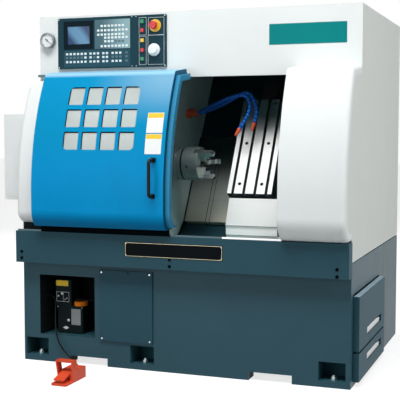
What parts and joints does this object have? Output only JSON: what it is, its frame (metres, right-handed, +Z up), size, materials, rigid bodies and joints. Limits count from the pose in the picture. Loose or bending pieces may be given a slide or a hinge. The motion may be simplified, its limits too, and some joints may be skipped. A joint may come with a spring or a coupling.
{
  "type": "cnc turning lathe",
  "caption": "Slant-bed gang turning lathe with a curved sliding door, a three-jaw chuck, a slotted tool table, a control console, side drawers and a foot pedal.",
  "frame": {"origin": "on the floor, in the middle of the base cabinet's footprint and of its four anchor holes", "axes": "+Z up, -Y towards the operator, +X to the operator's right, along the spindle line"},
  "size_m": [1.877, 1.7235, 1.75],
  "materials": {
    "base_paint": "satin powder coat",
    "shell_paint": "fine textured powder coat",
    "side_paint": "fine textured powder coat",
    "door_paint": "glossy powder coat",
    "stainless": "brushed",
    "casting": "painted casting with ground seats",
    "ground_steel": "ground",
    "chuck_steel": "turned and ground",
    "motor_black": "satin",
    "belt_rubber": "matte",
    "screen_glass": "glossy",
    "pane": "clear",
    "console_black": "matte",
    "key_plastic": "matte",
    "handle_black": "satin",
    "green_plastic": "glossy",
    "red_plastic": "glossy",
    "yellow_plastic": "glossy",
    "white_plastic": "satin",
    "coolant_blue": "satin",
    "coolant_orange": "satin",
    "gauge_black": "satin",
    "oil_tank": "translucent plastic, satin",
    "pedal_orange": "glossy enamel",
    "cable_black": "matte"
  },
  "bodies": {
    "machine": {"base_cabinet": "base_paint", "levelling_bolts": "ground_steel", "access_panel": "base_paint", "panel_screws": "ground_steel", "chip_tray": "base_paint", "left_side_panel": "side_paint", "right_side_panel": "side_paint", "rear_panel": "shell_paint", "header_cover": "shell_paint", "left_front_panel": "shell_paint", "right_front_panel": "shell_paint", "chamber_liner": "stainless", "belt_cover": "shell_paint", "electrical_cabinet": "shell_paint", "bed_casting": "casting", "headstock": "casting", "spindle_bearings": "ground_steel", "spindle_motor": "motor_black", "drive_belt": "belt_rubber", "z_motor": "motor_black", "z_cover_fixed": "stainless", "coolant_valve": "coolant_orange", "coolant_hoses": "coolant_blue", "door_rail": "ground_steel", "console_panel": "console_black", "console_screen": "screen_glass", "console_keys": "key_plastic", "gauge_body": "gauge_black", "lubricator": "oil_tank", "pedal_cable": "cable_black", "pedal_housing": "pedal_orange"},
    "door": {"door_panel": "door_paint", "door_window": "pane", "door_handle": "handle_black"},
    "spindle_unit": {"spindle": "ground_steel", "chuck_body": "chuck_steel"},
    "jaw_1": {"jaw_1": "ground_steel"},
    "jaw_2": {"jaw_2": "ground_steel"},
    "jaw_3": {"jaw_3": "ground_steel"},
    "motor_pulley": {"motor_pulley": "ground_steel"},
    "z_screw": {"z_screw": "ground_steel"},
    "z_cover_middle": {"z_cover_middle": "stainless"},
    "saddle_unit": {"saddle": "casting", "z_cover_saddle": "stainless", "saddle_apron": "stainless", "x_motor": "motor_black"},
    "x_screw": {"x_screw": "ground_steel"},
    "cross_slide": {"tool_table": "ground_steel"},
    "button_green_top": {"button_green_top": "green_plastic"},
    "button_red_upper": {"button_red_upper": "red_plastic"},
    "button_yellow": {"button_yellow": "yellow_plastic"},
    "button_red_lower": {"button_red_lower": "red_plastic"},
    "button_green_bottom": {"button_green_bottom": "green_plastic"},
    "estop": {"estop_button": "red_plastic"},
    "selector": {"selector_knob": "white_plastic"},
    "needle": {"gauge_needle": "handle_black"},
    "electrical_door": {"electrical_door": "shell_paint"},
    "chip_drawer": {"chip_drawer": "base_paint"},
    "coolant_tank": {"coolant_tank": "base_paint"},
    "treadle": {"pedal_treadle": "pedal_orange"}
  },
  "joints": [
    {"name": "door_slide", "type": "slide", "parent": "machine", "child": "door", "axis": [1, 0, 0], "range_m": [0, 0.544]},
    {"name": "spindle_turn", "type": "hinge", "parent": "machine", "child": "spindle_unit", "pos_m": [0, -0.393, 1.003], "axis": [1, 0, 0], "continuous": true},
    {"name": "jaw_1_slide", "type": "slide", "parent": "spindle_unit", "child": "jaw_1", "axis": [0, -0.6428, 0.766], "range_m": [-0.004, 0.012]},
    {"name": "jaw_2_slide", "type": "slide", "parent": "spindle_unit", "child": "jaw_2", "axis": [0, -0.342, -0.9397], "range_m": [-0.004, 0.012]},
    {"name": "jaw_3_slide", "type": "slide", "parent": "spindle_unit", "child": "jaw_3", "axis": [0, 0.9848, 0.1736], "range_m": [-0.004, 0.012]},
    {"name": "motor_pulley_turn", "type": "hinge", "parent": "machine", "child": "motor_pulley", "pos_m": [0, -0.19408, 1.10755], "axis": [1, 0, 0], "continuous": true},
    {"name": "saddle_slide", "type": "slide", "parent": "machine", "child": "saddle_unit", "axis": [1, 0, 0], "range_m": [-0.04, 0.26]},
    {"name": "z_screw_turn", "type": "hinge", "parent": "machine", "child": "z_screw", "pos_m": [0, -0.00438, 0.8941], "axis": [1, 0, 0], "range_deg": [-1450, 9370]},
    {"name": "cover_slide", "type": "slide", "parent": "machine", "child": "z_cover_middle", "axis": [1, 0, 0], "range_m": [-0.0205, 0.1305]},
    {"name": "cross_slide_move", "type": "slide", "parent": "saddle_unit", "child": "cross_slide", "axis": [0, 0.5, 0.866], "range_m": [0, 0.15]},
    {"name": "x_screw_turn", "type": "hinge", "parent": "saddle_unit", "child": "x_screw", "pos_m": [0.279, -0.23278, 0.9105], "axis": [0, 0.5, 0.866], "range_deg": [-10, 5420]},
    {"name": "button_green_top_press", "type": "slide", "parent": "machine", "child": "button_green_top", "axis": [0, 1, 0], "range_m": [0, 0.003], "stiffness_N_per_m": 300, "springref_m": -0.003},
    {"name": "button_red_upper_press", "type": "slide", "parent": "machine", "child": "button_red_upper", "axis": [0, 1, 0], "range_m": [0, 0.003], "stiffness_N_per_m": 300, "springref_m": -0.003},
    {"name": "button_yellow_press", "type": "slide", "parent": "machine", "child": "button_yellow", "axis": [0, 1, 0], "range_m": [0, 0.003], "stiffness_N_per_m": 300, "springref_m": -0.003},
    {"name": "button_red_lower_press", "type": "slide", "parent": "machine", "child": "button_red_lower", "axis": [0, 1, 0], "range_m": [0, 0.003], "stiffness_N_per_m": 300, "springref_m": -0.003},
    {"name": "button_green_bottom_press", "type": "slide", "parent": "machine", "child": "button_green_bottom", "axis": [0, 1, 0], "range_m": [0, 0.003], "stiffness_N_per_m": 300, "springref_m": -0.003},
    {"name": "estop_press", "type": "slide", "parent": "machine", "child": "estop", "axis": [0, 1, 0], "range_m": [0, 0.005]},
    {"name": "selector_turn", "type": "hinge", "parent": "machine", "child": "selector", "pos_m": [-0.19, -0.48, 1.565], "axis": [0, 1, 0], "range_deg": [-140, 140]},
    {"name": "needle_turn", "type": "hinge", "parent": "machine", "child": "needle", "pos_m": [-0.784, -0.478, 1.629], "axis": [0, 1, 0], "range_deg": [0, 250], "stiffness_Nm_per_rad": 0.001},
    {"name": "electrical_door_turn", "type": "hinge", "parent": "machine", "child": "electrical_door", "pos_m": [-0.404, 0.655, 1.1], "axis": [0, 0, 1], "range_deg": [0, 110]},
    {"name": "chip_drawer_pull", "type": "slide", "parent": "machine", "child": "chip_drawer", "axis": [1, 0, 0], "range_m": [0, 0.5]},
    {"name": "coolant_tank_pull", "type": "slide", "parent": "machine", "child": "coolant_tank", "axis": [1, 0, 0], "range_m": [0, 0.5]},
    {"name": "treadle_press", "type": "hinge", "parent": "machine", "child": "treadle", "pos_m": [-0.43, -0.948, 0.044], "axis": [1, 0, 0], "range_deg": [0, 5.5], "stiffness_Nm_per_rad": 8, "springref_deg": -5.73}
  ],
  "couplings": [
    {"joint": "jaw_2_slide", "follows": "jaw_1_slide", "ratio": 1},
    {"joint": "jaw_3_slide", "follows": "jaw_1_slide", "ratio": 1},
    {"joint": "motor_pulley_turn", "follows": "spindle_turn", "ratio": 1.3846},
    {"joint": "z_screw_turn", "follows": "saddle_slide", "rad_per_m": 628.32},
    {"joint": "cover_slide", "follows": "saddle_slide", "ratio": 0.5},
    {"joint": "x_screw_turn", "follows": "cross_slide_move", "rad_per_m": 628.32}
  ]
}
